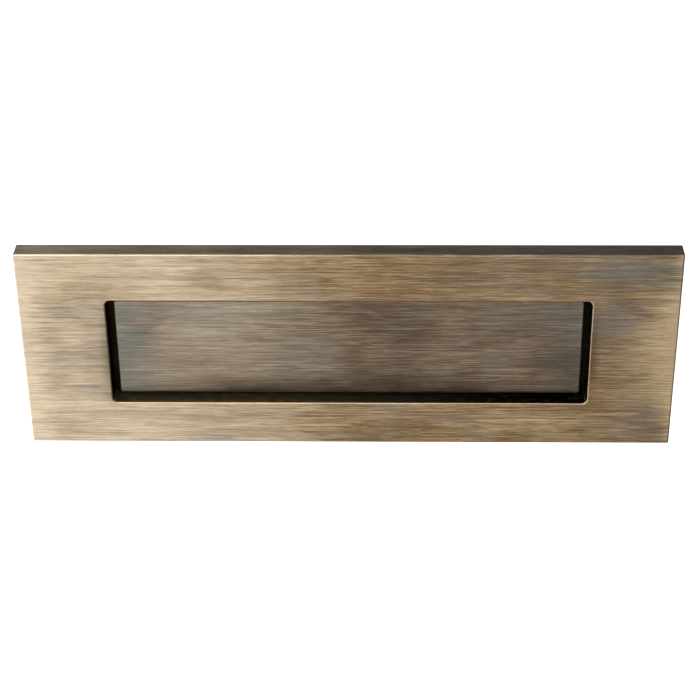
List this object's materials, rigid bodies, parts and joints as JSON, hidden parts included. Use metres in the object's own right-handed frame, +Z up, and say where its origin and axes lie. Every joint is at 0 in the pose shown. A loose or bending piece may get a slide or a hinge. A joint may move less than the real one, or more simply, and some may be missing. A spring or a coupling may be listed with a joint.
{
  "type": "letter plate",
  "caption": "Door letter plate in brushed antique brass: a thick rectangular frame with a recessed, top-hinged sprung flap, and rear studs with domed nuts that clamp it through the door.",
  "frame": {"origin": "halfway between the two fixing studs, on the door's outer face, which the plate's back lies on", "axes": "+Y goes into the door along the studs, so the plate's face looks along -Y; +X runs along the plate's width, to the right of someone facing it; +Z is up"},
  "size_m": [0.305, 0.0692, 0.102],
  "materials": {
    "antique_brass": "horizontally brushed antique brass, dark patina left in the recess",
    "drawn_brass": "plain drawn rod, slightly dulled",
    "fixing_brass": "turned and dulled",
    "spring_steel": "bright spring wire",
    "clip_steel": "black phosphated",
    "plated_steel": "zinc plated",
    "nylon": "natural moulded nylon",
    "buffer_rubber": "matt black"
  },
  "bodies": {
    "plate": {"face_plate": "antique_brass", "hinge_rod": "drawn_brass", "thrust_washer_left": "nylon", "thrust_washer_right": "nylon", "retaining_clip_left": "clip_steel", "retaining_clip_right": "clip_steel", "flap_spring_left": "spring_steel", "flap_spring_right": "spring_steel", "fixing_stud_left": "plated_steel", "fixing_stud_right": "plated_steel", "flat_washer_left": "fixing_brass", "flat_washer_right": "fixing_brass", "spring_washer_left": "plated_steel", "spring_washer_right": "plated_steel", "cap_nut_left": "fixing_brass", "cap_nut_right": "fixing_brass"},
    "flap": {"flap": "antique_brass", "hinge_bush_left": "nylon", "hinge_bush_right": "nylon", "flap_buffer_left": "buffer_rubber", "flap_buffer_right": "buffer_rubber"}
  },
  "joints": [
    {"name": "flap_hinge", "type": "hinge", "parent": "plate", "child": "flap", "pos_m": [0, 0.00547, 0.03602], "axis": [1, 0, 0], "range_deg": [0, 85], "stiffness_Nm_per_rad": 0.15, "springref_deg": -28.65, "deforming": ["flap_spring_left", "flap_spring_right"]}
  ]
}
